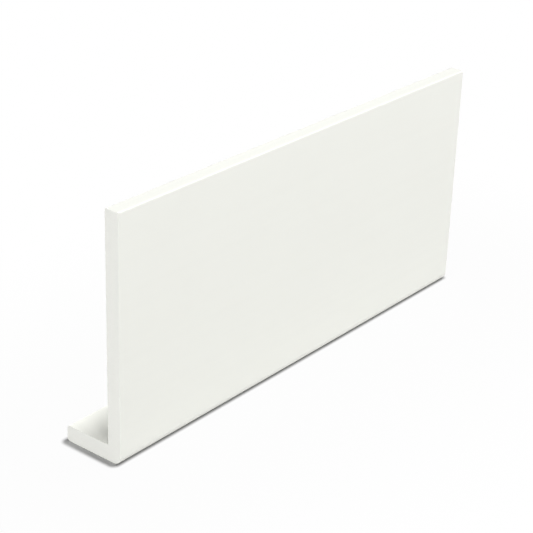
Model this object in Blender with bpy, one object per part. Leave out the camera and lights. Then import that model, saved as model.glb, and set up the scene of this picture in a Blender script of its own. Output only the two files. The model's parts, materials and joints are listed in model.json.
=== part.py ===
"""Square-leg fascia cover board in white foamed PVC, one sawn length of it.

The board is a single extrusion: a tall flat plate with a leg turned back under it at the bottom.
It stands on the underside of the leg, with its face towards -Y and its length along X.
Sizes are in metres. The origin is the middle of the rectangle that the board covers on the floor.
"""

import math

import bmesh
import bpy

# The plate: its height runs from the underside of the leg to the top edge
PLATE_HEIGHT = 0.150
PLATE_THICKNESS = 0.0095

# The leg: its reach runs from the face of the plate to the tip of the leg
LEG_REACH = 0.041
LEG_THICKNESS = 0.0100

# The length that was sawn off the stock
CUT_LENGTH = 0.320

# How far the extrusion die rounds each long edge
NOSE_RADIUS = 0.0055
TOP_EDGE_RADIUS = 0.0008
LEG_TIP_RADIUS = 0.0020
ROOT_RADIUS = 0.0006

# A rounded edge turns through a quarter, one facet at a time, and is shaded as one curve
QUARTER_TURN = math.radians(90)
FACET_TURN = math.radians(9)
SHARPEST_SMOOTH_TURN = math.radians(30)

# White plastic with a satin skin
PVC_COLOUR = (0.83, 0.84, 0.81, 1.0)
PVC_ROUGHNESS = 0.38


def clear_scene():
    for obj in list(bpy.data.objects):
        bpy.data.objects.remove(obj, do_unlink=True)


def pvc_material():
    material = bpy.data.materials.new("white_pvc")
    material.use_nodes = True
    shader = material.node_tree.nodes["Principled BSDF"]
    shader.inputs["Base Color"].default_value = PVC_COLOUR
    shader.inputs["Roughness"].default_value = PVC_ROUGHNESS
    shader.inputs["Metallic"].default_value = 0.0
    material.diffuse_color = PVC_COLOUR
    return material


def direction(start, end):
    """The vector of length one that points from start to end."""
    length = math.dist(start, end)
    return [(e - s) / length for s, e in zip(start, end)]


def rounded_corner(before, corner, after, radius):
    """The points of the arc that rounds a square corner, from the side before it to the side after it."""
    back = direction(corner, before)
    on = direction(corner, after)
    centre = [c + radius * (b + o) for c, b, o in zip(corner, back, on)]
    facets = round(QUARTER_TURN / FACET_TURN)
    points = []
    for facet in range(facets + 1):
        turn = QUARTER_TURN * facet / facets
        points.append(
            tuple(
                c - radius * (math.sin(turn) * b + math.cos(turn) * o)
                for c, b, o in zip(centre, back, on)
            )
        )
    return points


def section_outline():
    """The extrusion's section in the Y-Z plane, anticlockwise as seen from +X."""
    face = -LEG_REACH / 2
    plate_back = face + PLATE_THICKNESS
    leg_tip = face + LEG_REACH
    corners = [
        ((face, 0.0), NOSE_RADIUS),
        ((leg_tip, 0.0), LEG_TIP_RADIUS),
        ((leg_tip, LEG_THICKNESS), LEG_TIP_RADIUS),
        ((plate_back, LEG_THICKNESS), ROOT_RADIUS),
        ((plate_back, PLATE_HEIGHT), TOP_EDGE_RADIUS),
        ((face, PLATE_HEIGHT), TOP_EDGE_RADIUS),
    ]
    outline = []
    for place, (corner, radius) in enumerate(corners):
        before = corners[place - 1][0]
        after = corners[(place + 1) % len(corners)][0]
        outline += rounded_corner(before, corner, after, radius)
    return outline


def cover_board():
    """The section drawn as one face at the left saw cut, and extruded to the right one."""
    shape = bmesh.new()
    left_cut = -CUT_LENGTH / 2
    corners = [shape.verts.new((left_cut, y, z)) for y, z in section_outline()]
    section = shape.faces.new(corners)
    pulled = bmesh.ops.extrude_face_region(shape, geom=[section], use_keep_orig=True)
    moved = [item for item in pulled["geom"] if isinstance(item, bmesh.types.BMVert)]
    bmesh.ops.translate(shape, verts=moved, vec=(CUT_LENGTH, 0.0, 0.0))
    bmesh.ops.recalc_face_normals(shape, faces=shape.faces)

    mesh = bpy.data.meshes.new("cover_board")
    shape.to_mesh(mesh)
    shape.free()
    mesh.shade_smooth()
    mesh.set_sharp_from_angle(angle=SHARPEST_SMOOTH_TURN)
    mesh.materials.append(pvc_material())
    board = bpy.data.objects.new("cover_board", mesh)
    bpy.context.scene.collection.objects.link(board)
    return board


clear_scene()
cover_board()
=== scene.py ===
"""A sawn length of white foamed PVC cover board, standing on its leg in a pale studio.

The file is laid out as a Blender add-on, and is run as a script. The board is one surface: its
section is a grid of points across and along the bent strip of plastic, and the long faces carry
that section's outline from one saw cut to the other. Lengths are in metres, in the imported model's
own frame: X along the board, the face towards -Y, Z up.
"""

import json
import math

import bpy
import numpy as np
from mathutils import Matrix, Vector


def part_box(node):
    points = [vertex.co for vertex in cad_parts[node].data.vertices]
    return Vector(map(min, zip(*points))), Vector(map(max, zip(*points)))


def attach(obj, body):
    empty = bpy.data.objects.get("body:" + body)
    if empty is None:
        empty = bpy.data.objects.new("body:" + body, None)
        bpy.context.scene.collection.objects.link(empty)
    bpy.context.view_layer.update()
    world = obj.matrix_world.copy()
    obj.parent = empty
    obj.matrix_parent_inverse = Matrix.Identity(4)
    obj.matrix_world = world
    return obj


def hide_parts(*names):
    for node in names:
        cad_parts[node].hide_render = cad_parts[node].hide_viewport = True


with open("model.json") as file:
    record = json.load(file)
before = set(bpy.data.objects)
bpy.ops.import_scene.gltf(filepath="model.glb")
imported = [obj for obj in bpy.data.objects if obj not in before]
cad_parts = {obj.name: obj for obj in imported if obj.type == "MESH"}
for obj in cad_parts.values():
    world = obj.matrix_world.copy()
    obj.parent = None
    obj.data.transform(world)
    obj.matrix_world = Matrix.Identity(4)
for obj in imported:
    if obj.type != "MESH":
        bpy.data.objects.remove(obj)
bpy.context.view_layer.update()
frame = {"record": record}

bl_info = {
    "name": "Cover Board",
    "version": (1, 0, 0),
    "blender": (4, 5, 0),
    "location": "3D View > Sidebar > Cover Board",
    "description": "Makes a sawn length of foamed PVC cover board and the studio it stands in",
    "category": "Object",
}

BOARD_LOW, BOARD_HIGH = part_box("cover_board")
MOUNT_PLACES = {mount["name"]: mount["pos_m"] for mount in frame["record"]["mounts"]}
MM = 0.001

# How finely the section and the length are divided
ROW_STEP = 0.5 * MM
SMALL_ARC_POINTS = 7
BEND_POINTS = 15
COLUMNS = 25
STATIONS = 25
ARRIS_FACETS = 4

# The first and the last station stand this many arrises in from their cut
END_STATION = 4

# The ripple that the die leaves round the section: how many waves it is the sum of, the fewest
# crests that a wave has once round, the number that all stay under, and the seed of their draw
DIE_WAVES = 14
FEWEST_CRESTS = 8
CRESTS_LIMIT = 130
DIE_SEED = 11

# The slower wave among the arcs on a cut: how many of it there are to one tooth pitch, its height
# against the first wave, and where it starts, in radians
SLOW_WAVES = 0.37
SLOW_HEIGHT = 0.6
SLOW_START = 1.0

# How far in from the outline the foamed core starts to drop, as a share of the skin's depth
DROP_START = 0.5


class CoverBoardSizes(bpy.types.PropertyGroup):
    """The sizes of the section and of its saw cuts."""

    length: bpy.props.FloatProperty(
        name="Length",
        description="From one saw cut to the other",
        default=BOARD_HIGH.x - BOARD_LOW.x,
        unit="LENGTH",
    )
    height: bpy.props.FloatProperty(
        name="Height",
        description="From the underside of the leg to the top edge",
        default=BOARD_HIGH.z - BOARD_LOW.z,
        unit="LENGTH",
    )
    leg_reach: bpy.props.FloatProperty(
        name="Leg reach",
        description="From the face of the plate to the tip of the leg",
        default=BOARD_HIGH.y - BOARD_LOW.y,
        unit="LENGTH",
    )
    plate_thickness: bpy.props.FloatProperty(
        name="Plate thickness",
        description="From the face of the plate to its back",
        default=MOUNT_PLACES["plate_back"][1] - BOARD_LOW.y,
        unit="LENGTH",
    )
    leg_thickness: bpy.props.FloatProperty(
        name="Leg thickness",
        description="From the underside of the leg to its top",
        default=MOUNT_PLACES["leg_top"][2] - BOARD_LOW.z,
        unit="LENGTH",
    )
    nose_radius: bpy.props.FloatProperty(
        name="Nose radius",
        description="Rounding along the bottom of the face",
        default=5.5 * MM,
        unit="LENGTH",
    )
    top_edge_radius: bpy.props.FloatProperty(
        name="Top edge radius",
        description="Rounding on both sides of the top edge",
        default=0.8 * MM,
        unit="LENGTH",
    )
    leg_tip_radius: bpy.props.FloatProperty(
        name="Leg tip radius",
        description="Rounding on both sides of the leg's tip",
        default=2.0 * MM,
        unit="LENGTH",
    )
    root_radius: bpy.props.FloatProperty(
        name="Root radius",
        description="Hollow rounding between the plate's back and the leg",
        default=0.6 * MM,
        unit="LENGTH",
    )
    arris: bpy.props.FloatProperty(
        name="Arris",
        description="How far the sharp edge of a saw cut is broken",
        default=0.08 * MM,
        unit="LENGTH",
    )
    die_ripple: bpy.props.FloatProperty(
        name="Die ripple",
        description="Depth of the faint ripple that runs along the long faces",
        default=0.02 * MM,
        unit="LENGTH",
    )
    tooth_ripple: bpy.props.FloatProperty(
        name="Tooth ripple",
        description="Depth of the arcs that the saw's teeth leave on a cut",
        default=0.03 * MM,
        unit="LENGTH",
    )
    tooth_pitch: bpy.props.FloatProperty(
        name="Tooth pitch",
        description="Distance between the arcs on a cut",
        default=2.6 * MM,
        unit="LENGTH",
    )
    blade_radius: bpy.props.FloatProperty(
        name="Blade radius",
        description="Radius of the saw blade that made the cuts",
        default=127 * MM,
        unit="LENGTH",
    )
    blade_drop: bpy.props.FloatProperty(
        name="Blade drop",
        description="How far the blade's centre lay in front of the plate's face",
        default=60 * MM,
        unit="LENGTH",
    )
    skin_depth: bpy.props.FloatProperty(
        name="Skin depth",
        description="Thickness of the dense skin round the foamed core",
        default=0.7 * MM,
        unit="LENGTH",
    )
    core_drop: bpy.props.FloatProperty(
        name="Core drop",
        description="How far the foamed core lies under the skin's rim on a cut",
        default=0.03 * MM,
        unit="LENGTH",
    )


class CoverBoardFinish(bpy.types.PropertyGroup):
    """The colours and the gloss of the plastic."""

    skin_colour: bpy.props.FloatVectorProperty(
        name="Skin colour",
        description="White of the long faces",
        default=(0.862, 0.868, 0.816, 1.0),
        size=4,
        min=0.0,
        max=1.0,
        subtype="COLOR",
    )
    core_colour: bpy.props.FloatVectorProperty(
        name="Core colour",
        description="White of the foamed core on the saw cuts",
        default=(0.870, 0.874, 0.829, 1.0),
        size=4,
        min=0.0,
        max=1.0,
        subtype="COLOR",
    )
    skin_roughness: bpy.props.FloatProperty(
        name="Skin roughness",
        description="Roughness of the satin skin",
        default=0.42,
        min=0.0,
        max=1.0,
        subtype="FACTOR",
    )
    core_roughness: bpy.props.FloatProperty(
        name="Core roughness",
        description="Roughness of the sawn foam",
        default=0.75,
        min=0.0,
        max=1.0,
        subtype="FACTOR",
    )
    skin_gloss: bpy.props.FloatProperty(
        name="Skin gloss",
        description="Share of the mirror light that the fine grain of the skin leaves; 0.5 is all of it",
        default=0.30,
        min=0.0,
        max=1.0,
        subtype="FACTOR",
    )
    core_gloss: bpy.props.FloatProperty(
        name="Core gloss",
        description="Share of the mirror light that the open cells leave; 0.5 is all of it",
        default=0.20,
        min=0.0,
        max=1.0,
        subtype="FACTOR",
    )
    cell_size: bpy.props.FloatProperty(
        name="Cell size",
        description="Width of a cell of the foam",
        default=0.35 * MM,
        unit="LENGTH",
    )


class CoverBoardStudio(bpy.types.PropertyGroup):
    """The camera, the floor and the room's light."""

    camera_place: bpy.props.FloatVectorProperty(
        name="Camera place",
        description="Where the camera stands",
        default=(-0.6808, -0.5284, 0.4622),
        subtype="TRANSLATION",
        unit="LENGTH",
    )
    camera_azimuth: bpy.props.FloatProperty(
        name="Azimuth",
        description="Turn of the view round the board, from looking along +Y",
        default=math.radians(-51.67),
        subtype="ANGLE",
    )
    camera_elevation: bpy.props.FloatProperty(
        name="Elevation",
        description="Height of the view above the horizon",
        default=math.radians(25.12),
        subtype="ANGLE",
    )
    camera_roll: bpy.props.FloatProperty(
        name="Roll",
        description="Turn of the camera about its own line of sight",
        default=math.radians(1.91),
        subtype="ANGLE",
    )
    focal_length: bpy.props.FloatProperty(
        name="Focal length",
        description="Focal length on a sensor 36 mm wide, in millimetres",
        default=105.85,
        unit="CAMERA",
    )
    # Seen by the camera, this grey shows only close to the board, as painted shade along the contact line;
    # it also sets the light that the floor throws back
    floor_colour: bpy.props.FloatVectorProperty(
        name="Floor colour",
        description="The floor's own colour, which shows where it meets the board",
        default=(0.38, 0.38, 0.38, 1.0),
        size=4,
        min=0.0,
        max=1.0,
        subtype="COLOR",
    )
    room_light: bpy.props.FloatProperty(
        name="Room light",
        description="Strength of the even light from all round",
        default=0.10,
        min=0.0,
    )


class Value:
    """One output socket of a recipe. Arithmetic on it adds Math nodes."""

    def __init__(self, recipe, socket):
        self.recipe = recipe
        self.socket = socket

    def maths(self, operation, *terms):
        return self.recipe.add("Math", {"operation": operation}, dict(enumerate(terms)))["Value"]

    def __add__(self, other):
        return self.maths("ADD", self, other)

    __radd__ = __add__

    def __sub__(self, other):
        return self.maths("SUBTRACT", self, other)

    def __rsub__(self, other):
        return self.maths("SUBTRACT", other, self)

    def __mul__(self, other):
        return self.maths("MULTIPLY", self, other)

    __rmul__ = __mul__

    def __pow__(self, other):
        return self.maths("POWER", self, other)

    def root(self):
        return self.maths("SQRT", self)

    def sine(self):
        return self.maths("SINE", self)

    def larger(self, other):
        return self.maths("MAXIMUM", self, other)

    def ramp(self, start, end):
        """0 up to start and 1 from end on, with a smooth rise between them."""
        return self.recipe.add(
            "MapRange",
            {"interpolation_type": "SMOOTHSTEP"},
            {"Value": self, "From Min": start, "From Max": end},
        )["Result"]


def shown_socket(sockets, key):
    """The socket with that name or number, among those that the node's settings show."""
    shown = [socket for socket in sockets if socket.enabled]
    if isinstance(key, int):
        return shown[key]
    return next(socket for socket in shown if socket.name == key)


class Step:
    """A node of a recipe, whose outputs are read by name as values."""

    def __init__(self, recipe, node):
        self.recipe = recipe
        self.node = node

    def __getitem__(self, name):
        return Value(self.recipe, shown_socket(self.node.outputs, name))


class Recipe:
    """The node tree of one material or of the world."""

    def __init__(self, owner):
        owner.use_nodes = True
        self.tree = owner.node_tree
        self.tree.nodes.clear()

    def add(self, kind, settings=None, inputs=None):
        """Adds a node: its settings first, then a number, a colour or a link for each of the given
        sockets, which go by their names or, where names repeat, by their numbers."""
        node = self.tree.nodes.new("ShaderNode" + kind)
        for name, setting in (settings or {}).items():
            setattr(node, name, setting)
        for key, given in (inputs or {}).items():
            socket = shown_socket(node.inputs, key)
            if isinstance(given, Value):
                self.tree.links.new(given.socket, socket)
            else:
                socket.default_value = given
        return Step(self, node)

    def blend(self, share, first, second):
        """The first colour where share is 0, and the second where it is 1."""
        return self.add("Mix", {"data_type": "RGBA"}, {"Factor": share, "A": first, "B": second})["Result"]

    def vectors(self, operation, *terms):
        """Vector Math on vectors."""
        return self.add("VectorMath", {"operation": operation}, dict(enumerate(terms)))

    def finish(self, kind, shader):
        """Leads the shader to an output node, of the material or of the world."""
        self.add("Output" + kind, {}, {"Surface": shader})


def between(first, second, share):
    """The first number where share is 0, and the second where it is 1."""
    return first + (second - first) * share


def swing(noise, width):
    """Noise from 0 to 1 made a swing about 0, as wide as given."""
    return (noise - 0.5) * width


def shade_of(colour, factor):
    """The same colour, lighter or darker, with its alpha kept."""
    return (*[min(1.0, part * factor) for part in colour[:3]], colour[3])


# How far down in size the noise of the drawn lines goes, in octaves
LINE_DETAIL = 2.0


def drawn_lines(recipe, place, along, across):
    """Noise drawn out into lines: along and across the board are the widths of its features."""
    scale = (1 / along, 1 / across, 1 / across)
    drawn = recipe.add("Mapping", {"vector_type": "POINT"}, {"Vector": place, "Scale": scale})["Vector"]
    return recipe.add("TexNoise", {}, {"Vector": drawn, "Scale": 1.0, "Detail": LINE_DETAIL})["Fac"]


# How much the plastic bends light
PVC_IOR = 1.53


def finish_plastic(recipe, colour, roughness, bump, gloss):
    """Leads what changes over the plastic to its shader, and the shader to the output."""
    inputs = {
        "Base Color": colour,
        "Roughness": roughness,
        "Normal": bump,
        "IOR": PVC_IOR,
        "Specular IOR Level": gloss,
    }
    recipe.finish("Material", recipe.add("BsdfPrincipled", {}, inputs)["BSDF"])


# The patterns of the skin: the widths of the features of the die's lines, along the board and
# across it, and how finely the clouds and the pores are set, to the metre
FINE_LINES = (400 * MM, 0.5 * MM)
BROAD_LINES = (900 * MM, 5 * MM)
CLOUDS = {"Scale": 22.0, "Detail": 3.0}
PORES = {"Scale": 2600.0, "Detail": 1.0}

# What they do: the darkest and the lightest shade of the skin, each pattern's share in them, how
# far each swings the roughness, each one's share in the relief, and the relief's depth
SKIN_SHADES = (0.985, 1.015)
SHADE_FROM_LINES = 0.6
SHADE_FROM_CLOUDS = 0.4
SWING_FROM_LINES = 0.10
SWING_FROM_CLOUDS = 0.12
RELIEF_FROM_LINES = 0.7
RELIEF_FROM_PORES = 0.3
SKIN_BUMP = {"Strength": 1.0, "Distance": 0.045 * MM}


def skin_material(finish):
    """Satin white skin: faint lines from the die run along the board, over a slow change of gloss."""
    material = bpy.data.materials.new("satin_skin")
    recipe = Recipe(material)
    place = recipe.add("TexCoord")["Object"]
    fine_lines = drawn_lines(recipe, place, *FINE_LINES)
    broad_lines = drawn_lines(recipe, place, *BROAD_LINES)
    clouds = recipe.add("TexNoise", {}, {"Vector": place, **CLOUDS})["Fac"]
    pores = recipe.add("TexNoise", {}, {"Vector": place, **PORES})["Fac"]

    shade = broad_lines * SHADE_FROM_LINES + clouds * SHADE_FROM_CLOUDS
    colour = recipe.blend(shade, *[shade_of(finish.skin_colour, factor) for factor in SKIN_SHADES])
    roughness = finish.skin_roughness + swing(fine_lines, SWING_FROM_LINES)
    roughness = roughness + swing(clouds, SWING_FROM_CLOUDS)
    relief = fine_lines * RELIEF_FROM_LINES + pores * RELIEF_FROM_PORES
    bump = recipe.add("Bump", {}, {"Height": relief, **SKIN_BUMP})["Normal"]
    finish_plastic(recipe, colour, roughness, bump, finish.skin_gloss)
    return material


# The patterns of a saw cut: the shares of the skin's depth between which its rim goes over into
# the core, the fine tooth marks to one arc, the cells to one speck of the grain, how far down the
# grain goes, and how finely the smears are set, to the metre
RIM_START = 0.6
RIM_END = 1.3
MARKS_PER_ARC = 4
CELLS_PER_SPECK = 4
GRAIN_DETAIL = 4.0
SMEARS = {"Scale": 120.0, "Detail": 2.0}

# What they do: the lightest and the darkest shade of the foam, each pattern's share in them, the
# rim's roughness and how far the smears swing the core's, each pattern's share in the relief, and
# the relief's depth
FOAM_SHADES = (1.015, 0.965)
SHADE_FROM_CELLS = 0.7
SHADE_FROM_GRAIN = 0.5
RIM_ROUGHNESS = 0.45
SWING_FROM_SMEARS = 0.15
RELIEF_FROM_MARKS = 0.35
RELIEF_FROM_CELLS = 0.8
RELIEF_FROM_GRAIN = 0.6
CUT_BUMP = {"Strength": 0.9, "Distance": 0.09 * MM}


def tooth_marks(recipe, place, sizes):
    """The fine marks of the teeth, as the sine of the blade's travel; cut_relief gives the formula."""
    at = recipe.add("SeparateXYZ", {}, {"Vector": place})
    sideways = at["Y"] - (BOARD_LOW.y - sizes.blade_drop)
    travel = at["Z"] - (sizes.blade_radius**2 - sideways**2).root()
    return (travel * (2 * math.pi * MARKS_PER_ARC / sizes.tooth_pitch)).sine()


def sawn_material(sizes, finish):
    """A saw cut: matt foam with fine cells and tooth marks, inside a smoother line of dense skin."""
    material = bpy.data.materials.new("sawn_foam")
    recipe = Recipe(material)
    place = recipe.add("TexCoord")["Object"]
    depth = recipe.add("Attribute", {"attribute_name": "depth", "attribute_type": "GEOMETRY"})["Fac"]
    core = depth.ramp(RIM_START * sizes.skin_depth, RIM_END * sizes.skin_depth)
    marks = tooth_marks(recipe, place, sizes)
    cell_scale = 1 / finish.cell_size
    cells = recipe.add("TexVoronoi", {"feature": "F1"}, {"Vector": place, "Scale": cell_scale})["Distance"]
    speck = {"Scale": cell_scale / CELLS_PER_SPECK, "Detail": GRAIN_DETAIL}
    grain = recipe.add("TexNoise", {}, {"Vector": place, **speck})["Fac"]
    smears = recipe.add("TexNoise", {}, {"Vector": place, **SMEARS})["Fac"]

    shade = cells * SHADE_FROM_CELLS + grain * SHADE_FROM_GRAIN
    foam = recipe.blend(shade, *[shade_of(finish.core_colour, factor) for factor in FOAM_SHADES])
    colour = recipe.blend(core, finish.skin_colour, foam)
    foam_roughness = finish.core_roughness + swing(smears, SWING_FROM_SMEARS)
    roughness = between(RIM_ROUGHNESS, foam_roughness, core)
    foam_relief = cells * RELIEF_FROM_CELLS + grain * RELIEF_FROM_GRAIN
    relief = marks * RELIEF_FROM_MARKS + core * foam_relief
    bump = recipe.add("Bump", {}, {"Height": relief, **CUT_BUMP})["Normal"]
    finish_plastic(recipe, colour, roughness, bump, finish.core_gloss)
    return material


def arc(centre, radius, start, end, points, hollow=False):
    """A round stretch: centre plus radius times the cosine and sine of an angle that goes evenly
    from start to end, in degrees. Its normals lead out of the plastic, so inwards on a hollow arc."""
    angle = np.radians(np.linspace(start, end, points))[:, None]
    spoke = np.hstack([np.cos(angle), np.sin(angle)])
    return np.array(centre) + radius * spoke, -spoke if hollow else spoke


def flat(start, end, normal, points):
    """A flat stretch between two arcs: start plus an even share of the way to end, ends left out."""
    share = np.linspace(0, 1, points + 2)[1:-1, None]
    way = np.array(start) + share * (np.array(end) - np.array(start))
    return way, np.broadcast_to(np.array(normal, float), way.shape)


def joined(*stretches):
    """Stretches one after the other, as one array of places and one of normals."""
    places, normals = zip(*stretches)
    return np.concatenate(places), np.concatenate(normals)


def section_sides(sizes):
    """The two long sides of the bent strip in the Y-Z plane, one with as many points as the other:
    the outer one down the face, round the nose and under the leg, and the inner one down the back,
    round the root and over the leg. Both go from the top edge to the leg's tip."""
    face = BOARD_LOW.y
    back = face + sizes.plate_thickness
    tip = face + sizes.leg_reach
    top = sizes.height
    shelf = sizes.leg_thickness
    edge, nose = sizes.top_edge_radius, sizes.nose_radius
    toe, root = sizes.leg_tip_radius, sizes.root_radius
    down = round((top - edge - nose) / ROW_STEP)
    along = round((tip - toe - face - nose) / ROW_STEP)
    outer = joined(
        arc((face + edge, top - edge), edge, 90, 180, SMALL_ARC_POINTS),
        flat((face, top - edge), (face, nose), (-1, 0), down),
        arc((face + nose, nose), nose, 180, 270, BEND_POINTS),
        flat((face + nose, 0), (tip - toe, 0), (0, -1), along),
        arc((tip - toe, toe), toe, 270, 360, SMALL_ARC_POINTS),
    )
    inner = joined(
        arc((back - edge, top - edge), edge, 90, 0, SMALL_ARC_POINTS),
        flat((back, top - edge), (back, shelf + root), (1, 0), down),
        arc((back + root, shelf + root), root, 180, 270, BEND_POINTS, hollow=True),
        flat((back + root, shelf), (tip - toe, shelf), (0, 1), along),
        arc((tip - toe, shelf - toe), toe, 90, 0, SMALL_ARC_POINTS),
    )
    return outer, inner


def section_grid(outer, inner, inset=0.0):
    """The section as a grid: each row leads from the outer side to the inner one, and its columns
    stand closer together near both, as the cosine of an even angle does. The sides are first
    drawn in by the inset, against their normals."""
    share = (1 - np.cos(np.linspace(0, math.pi, COLUMNS))) / 2
    low = outer[0] - inset * outer[1]
    high = inner[0] - inset * inner[1]
    return low[:, None] + share[None, :, None] * (high - low)[:, None]


def grid_border(rows):
    """The numbers of the grid's border points, in order down the outer side and back up the inner."""
    number = np.arange(rows * COLUMNS).reshape(rows, COLUMNS)
    return np.concatenate([number[:, 0], number[-1, 1:-1], number[::-1, -1], number[0, -2:0:-1]])


def border_normals(outer, inner):
    """The outward normals in the same order: those of the sides, and between them those of the
    flat tip and of the flat top."""
    between_sides = COLUMNS - 2
    tip = np.tile([1.0, 0.0], (between_sides, 1))
    top = np.tile([0.0, 1.0], (between_sides, 1))
    return np.concatenate([outer[1], tip, inner[1][::-1], top])


def die_ripple(outline, depth):
    """How deep the skin lies under a perfect outline: a sum of waves, each with a whole number of
    crests round the outline and weaker the more it has, scaled to go from 0 to depth."""
    steps = np.linalg.norm(np.roll(outline, -1, axis=0) - outline, axis=1)
    way = np.concatenate([[0.0], np.cumsum(steps)[:-1]]) / steps.sum()
    draws = np.random.default_rng(DIE_SEED)
    crests = draws.integers(FEWEST_CRESTS, CRESTS_LIMIT, DIE_WAVES)[:, None]
    starts = draws.uniform(0, 2 * math.pi, DIE_WAVES)[:, None]
    ripple = (np.cos(2 * math.pi * crests * way + starts) / np.sqrt(crests)).sum(axis=0)
    return depth * (ripple - ripple.min()) / np.ptp(ripple)


def depth_under_skin(grid, outline, normals):
    """For each point of the grid, its distance to the nearest point of the outline, measured
    along that point's normal."""
    points = grid.reshape(-1, 2)
    gaps = np.linalg.norm(points[:, None] - outline[None, :], axis=2)
    nearest = gaps.argmin(axis=1)
    return np.einsum("ij,ij->i", outline[nearest] - points, normals[nearest]).clip(0.0)


def cut_relief(points, depth, sizes):
    """How deep the sawn surface lies under the cut's plane. The teeth leave arcs of the blade's
    radius about a centre that moves up the board, so their ripple is a wave of the centre's
    height: z less the root of the radius squared less the sideways distance squared. With a slower
    and weaker wave beside it, 2 plus both waves, over 4, stays between 0 and 1. The core lies a
    little lower than the skin's rim, by its whole drop from one skin's depth past the start."""
    sideways = points[:, 0] - (BOARD_LOW.y - sizes.blade_drop)
    travel = points[:, 1] - np.sqrt(sizes.blade_radius**2 - sideways**2)
    waves = 2 * math.pi * travel / sizes.tooth_pitch
    ripple = (2 + np.sin(waves) + SLOW_HEIGHT * np.sin(SLOW_WAVES * waves + SLOW_START)) / 4
    core = np.clip(depth / sizes.skin_depth - DROP_START, 0.0, 1.0)
    return sizes.tooth_ripple * ripple + sizes.core_drop * core


def long_rings(outline, normals, sizes):
    """The outline carried along X as rings of points: a quarter round for each arris, its drop one
    less the cosine of the turn and its inset one less the sine, and between the two, even
    stations, which keep the flat faces' shading flat. Each ring is drawn in by its inset and by
    the die's ripple, against the normals."""
    half = sizes.length / 2
    turn = np.linspace(0, math.pi / 2, ARRIS_FACETS + 1)[1:]
    drop = sizes.arris * (1 - np.cos(turn))
    arris_inset = sizes.arris * (1 - np.sin(turn))
    end = half - END_STATION * sizes.arris
    x = np.concatenate([-half + drop, np.linspace(-end, end, STATIONS), half - drop[::-1]])
    inset = np.concatenate([arris_inset, np.zeros(STATIONS), arris_inset[::-1]])
    inward = inset[:, None] + die_ripple(outline, sizes.die_ripple)[None, :]
    rings = outline[None] - inward[:, :, None] * normals[None]
    along = np.broadcast_to(x[:, None, None], (*rings.shape[:2], 1))
    return np.concatenate([along, rings], axis=2)


def quads(*corners):
    """Four-sided faces, from one array of point numbers for each corner."""
    return np.stack(corners, axis=-1).reshape(-1, 4)


def board_surface(sizes):
    """The whole closed surface: its points, its four-sided faces, which faces are sawn, and how
    deep each point lies under the skin. Both saw cuts are section grids, and rings join them."""
    outer, inner = section_sides(sizes)
    rows = len(outer[0])
    border = grid_border(rows)
    normals = border_normals(outer, inner)
    outline = section_grid(outer, inner).reshape(-1, 2)[border]
    cut = section_grid(outer, inner, sizes.arris).reshape(-1, 2)
    depth = depth_under_skin(cut, outline, normals)
    relief = cut_relief(cut, depth, sizes)
    half = sizes.length / 2
    left_cut = np.column_stack([-half + relief, cut])
    right_cut = np.column_stack([half - relief, cut])
    rings = long_rings(outline, normals, sizes)
    points = np.concatenate([left_cut, right_cut, rings.reshape(-1, 3)])

    number = np.arange(rows * COLUMNS).reshape(rows, COLUMNS)
    a, b, c, d = number[:-1, :-1], number[1:, :-1], number[1:, 1:], number[:-1, 1:]
    left_faces = quads(d, c, b, a)
    right_faces = quads(a, b, c, d) + number.size
    ring_number = 2 * number.size + np.arange(rings[..., 0].size).reshape(rings.shape[:2])
    loops = np.concatenate([border[None], ring_number, border[None] + number.size])
    near, on = loops[:-1], loops[1:]
    long_faces = quads(near, np.roll(near, -1, axis=1), np.roll(on, -1, axis=1), on)
    faces = np.concatenate([left_faces, right_faces, long_faces])
    sawn = np.arange(len(faces)) < len(left_faces) + len(right_faces)
    depths = np.concatenate([depth, depth, np.zeros(ring_number.size)])
    return points, faces, sawn, depths


def new_object(name, points, faces, *materials):
    """An object at the origin, with its places in its mesh, put into the scene."""
    mesh = bpy.data.meshes.new(name)
    mesh.from_pydata(points.tolist(), [], faces.tolist())
    for material in materials:
        mesh.materials.append(material)
    made = bpy.data.objects.new(name, mesh)
    bpy.context.scene.collection.objects.link(made)
    return made


class COVERBOARD_OT_make_board(bpy.types.Operator):
    """Make the board from its sizes, with a satin skin and sawn ends"""

    bl_idname = "coverboard.make_board"
    bl_label = "Make board"
    bl_options = {"REGISTER", "UNDO"}

    def execute(self, context):
        sizes = context.scene.cover_board_sizes
        finish = context.scene.cover_board_finish
        points, faces, sawn, depths = board_surface(sizes)
        board = new_object("board", points, faces, skin_material(finish), sawn_material(sizes, finish))
        mesh = board.data
        mesh.polygons.foreach_set("material_index", sawn.astype(np.int32))
        mesh.attributes.new("depth", "FLOAT", "POINT").data.foreach_set("value", depths)
        mesh.shade_smooth()
        mesh.update()
        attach(board, "root")
        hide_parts("cover_board")
        return {"FINISHED"}


# The floor is a square grid: half its side, how far it lies under the board so that the two never
# coincide, and its points along a side
FLOOR_HALF = 6.0
FLOOR_GAP = 0.05 * MM
FLOOR_COLUMNS = 48

# The even white of the studio round the board
WHITE = (1.0, 1.0, 1.0, 1.0)

# How far from the board's flat underside the floor shows its own grey colour under its real shadow, which
# is painted shade along the contact line, how far out it has gone over into even white by the share given,
# and between which distances it goes the rest
SHADOW_START = 2.5 * MM
SHADOW_END = 5.9 * MM
SHARE_BY_SHADOW_END = 0.97
SWEEP_START = 20 * MM
SWEEP_END = 220 * MM

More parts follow.
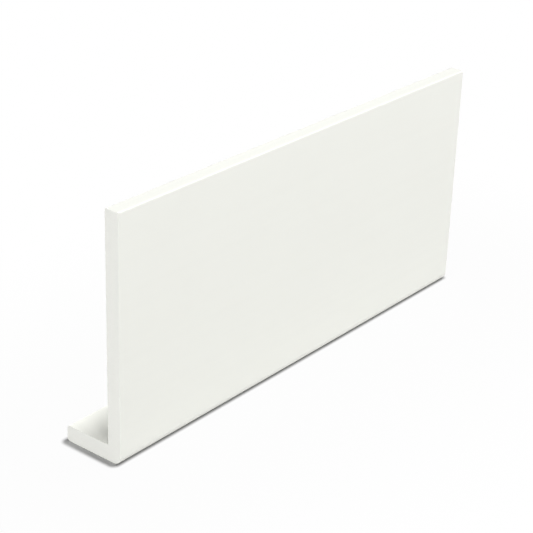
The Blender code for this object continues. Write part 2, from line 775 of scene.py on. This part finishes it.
# Each softbox: its name, its place, the point it faces, its width and height, and its power in
# watts. Those above the board stand a little in front of it, so that the plate shades the leg. The
# front one stands to the left, so that its light reaches the top of the leg near the left cut
BOARD_MIDDLE = (0.0, 0.0, 0.07)
SOFTBOXES = (
    ("top_softbox", (0.0, -0.21, 1.60), BOARD_MIDDLE, (1.60, 0.20), 15.9),
    ("narrow_softbox", (0.12, -0.23, 1.60), (0.12, 0.0, 0.07), (0.60, 0.16), 5.5),
    ("right_softbox", (1.20, -1.60, 0.15), BOARD_MIDDLE, (1.00, 0.25), 16.3),
    ("front_softbox", (-1.00, -1.60, 0.75), BOARD_MIDDLE, (0.50, 0.40), 10.9),
    ("left_softbox", (-2.00, -0.30, 0.12), BOARD_MIDDLE, (0.50, 0.22), 19.3),
    ("back_softbox", (0.50, 2.00, 0.45), BOARD_MIDDLE, (1.40, 0.60), 16.5),
)

# How far the camera sees, past the far edge of the floor
CAMERA_REACH = 50.0


def distance_from_underside(recipe, place, sizes):
    """How far a point of the floor lies from the flat underside, which starts behind the nose and
    ends before the leg's tip: the length of what the point's distances from the middle of that
    rectangle have over half its sides."""
    front = BOARD_LOW.y + sizes.nose_radius
    behind = BOARD_LOW.y + sizes.leg_reach - sizes.leg_tip_radius
    middle = Vector((0.0, (front + behind) / 2, 0.0))
    half = Vector((sizes.length / 2, (behind - front) / 2, 0.0))
    from_middle = recipe.vectors("ABSOLUTE", recipe.vectors("SUBTRACT", place, middle)["Vector"])
    over = recipe.vectors("SUBTRACT", from_middle["Vector"], half)
    outside = recipe.vectors("MAXIMUM", over["Vector"], (0, 0, 0))
    return recipe.vectors("LENGTH", outside["Vector"])["Value"]


def seen_share(recipe):
    """1 for what the camera sees, straight or by way of a gloss or of glass, and 0 for light that
    falls on the board."""
    path = recipe.add("LightPath")
    return path["Is Camera Ray"].larger(path["Is Glossy Ray"]).larger(path["Is Transmission Ray"])


def floor_material(sizes, colour):
    """Floor of a grey own colour. Seen by the camera it keeps that grey and its real shading close to the
    board, a painted shade along the contact line, and with the distance from it goes over into even white,
    as on a wide studio sweep."""
    material = bpy.data.materials.new("studio_floor")
    recipe = Recipe(material)
    away = distance_from_underside(recipe, recipe.add("TexCoord")["Object"], sizes)
    matt = recipe.add("BsdfDiffuse", {}, {"Color": colour})["BSDF"]
    white = recipe.add("Emission", {}, {"Color": WHITE, "Strength": 1.0})["Emission"]
    # Close to the board the camera sees the floor's grey colour with its real shading: painted shade along
    # the contact line, which goes over into even white farther out
    white_past_contact_shade = SHARE_BY_SHADOW_END * away.ramp(SHADOW_START, SHADOW_END)
    far_share = (1.0 - SHARE_BY_SHADOW_END) * away.ramp(SWEEP_START, SWEEP_END)
    share = seen_share(recipe) * (white_past_contact_shade + far_share)
    recipe.finish("Material", recipe.add("MixShader", {}, {0: share, 1: matt, 2: white})["Shader"])
    return material


def studio_world(room_light):
    """Even light from all round, and plain white wherever the camera or a gloss sees it."""
    world = bpy.data.worlds.new("studio_room")
    recipe = Recipe(world)
    strength = room_light + seen_share(recipe) * (1.0 - room_light)
    light = recipe.add("Background", {}, {"Color": WHITE, "Strength": strength})
    recipe.finish("World", light["Background"])
    return world


def add_floor(sizes, colour):
    """The level floor: points at even steps from one edge of the square to the other, both ways."""
    side = np.linspace(-FLOOR_HALF, FLOOR_HALF, FLOOR_COLUMNS)
    x, y = np.meshgrid(side, side)
    level = np.full_like(x, BOARD_LOW.z - FLOOR_GAP)
    points = np.stack([x, y, level], axis=-1).reshape(-1, 3)
    number = np.arange(x.size).reshape(x.shape)
    faces = quads(number[:-1, :-1], number[:-1, 1:], number[1:, 1:], number[1:, :-1])
    floor = new_object("floor", points, faces, floor_material(sizes, colour))


def add_softbox(name, place, aim, size, power):
    """A rectangular lamp at its place, turned to face its aim, with its width level."""
    lamp = bpy.data.lights.new(name, "AREA")
    lamp.shape = "RECTANGLE"
    lamp.size, lamp.size_y = size
    lamp.energy = power
    box = bpy.data.objects.new(name, lamp)
    box.location = place
    box.rotation_euler = (Vector(aim) - Vector(place)).to_track_quat("-Z", "Y").to_euler()
    box.visible_camera = False
    bpy.context.scene.collection.objects.link(box)


def camera_axes(azimuth, elevation, roll):
    """The camera's own right, up and back directions as the columns of a matrix: back points from
    the board to the camera, and right and up are turned about it by the roll."""
    back = Vector(
        (
            math.sin(azimuth) * math.cos(elevation),
            -math.cos(azimuth) * math.cos(elevation),
            math.sin(elevation),
        )
    )
    level = Vector((math.cos(azimuth), math.sin(azimuth), 0.0))
    upright = back.cross(level)
    right = level * math.cos(roll) + upright * math.sin(roll)
    up = upright * math.cos(roll) - level * math.sin(roll)
    return Matrix((right, up, back)).transposed()


def add_camera(studio):
    """The scene's camera, at its place and turned to its view."""
    camera = bpy.data.cameras.new("camera")
    camera.lens = studio.focal_length
    camera.clip_end = CAMERA_REACH
    stand = bpy.data.objects.new("camera", camera)
    turn = camera_axes(studio.camera_azimuth, studio.camera_elevation, studio.camera_roll)
    stand.matrix_world = Matrix.Translation(studio.camera_place) @ turn.to_4x4()
    bpy.context.scene.collection.objects.link(stand)
    bpy.context.scene.camera = stand


class COVERBOARD_OT_set_studio(bpy.types.Operator):
    """Set up the pale floor, the soft lamps, the room's light and the camera"""

    bl_idname = "coverboard.set_studio"
    bl_label = "Set up studio"
    bl_options = {"REGISTER", "UNDO"}

    def execute(self, context):
        studio = context.scene.cover_board_studio
        add_floor(context.scene.cover_board_sizes, studio.floor_colour)

        for softbox in SOFTBOXES:
            add_softbox(*softbox)

        context.scene.world = studio_world(studio.room_light)
        add_camera(studio)
        context.scene.view_settings.view_transform = "Standard"
        return {"FINISHED"}


class COVERBOARD_PT_panel(bpy.types.Panel):
    """Lists the board's and the studio's steps"""

    bl_label = "Cover Board"
    bl_idname = "COVERBOARD_PT_panel"
    bl_space_type = "VIEW_3D"
    bl_region_type = "UI"
    bl_category = "Cover Board"

    def draw(self, context):
        layout = self.layout
        for group in (context.scene.cover_board_sizes, context.scene.cover_board_finish):
            for name in group.__annotations__:
                layout.prop(group, name)
        layout.operator(COVERBOARD_OT_make_board.bl_idname)
        for name in context.scene.cover_board_studio.__annotations__:
            layout.prop(context.scene.cover_board_studio, name)
        layout.operator(COVERBOARD_OT_set_studio.bl_idname)


CLASSES = (
    CoverBoardSizes,
    CoverBoardFinish,
    CoverBoardStudio,
    COVERBOARD_OT_make_board,
    COVERBOARD_OT_set_studio,
    COVERBOARD_PT_panel,
)


def register():
    for each in CLASSES:
        bpy.utils.register_class(each)
    scene = bpy.types.Scene
    scene.cover_board_sizes = bpy.props.PointerProperty(type=CoverBoardSizes)
    scene.cover_board_finish = bpy.props.PointerProperty(type=CoverBoardFinish)
    scene.cover_board_studio = bpy.props.PointerProperty(type=CoverBoardStudio)


def unregister():
    scene = bpy.types.Scene
    del scene.cover_board_sizes, scene.cover_board_finish, scene.cover_board_studio
    for each in reversed(CLASSES):
        bpy.utils.unregister_class(each)


def main():
    register()
    bpy.ops.coverboard.make_board()
    bpy.ops.coverboard.set_studio()


if __name__ == "__main__":
    main()
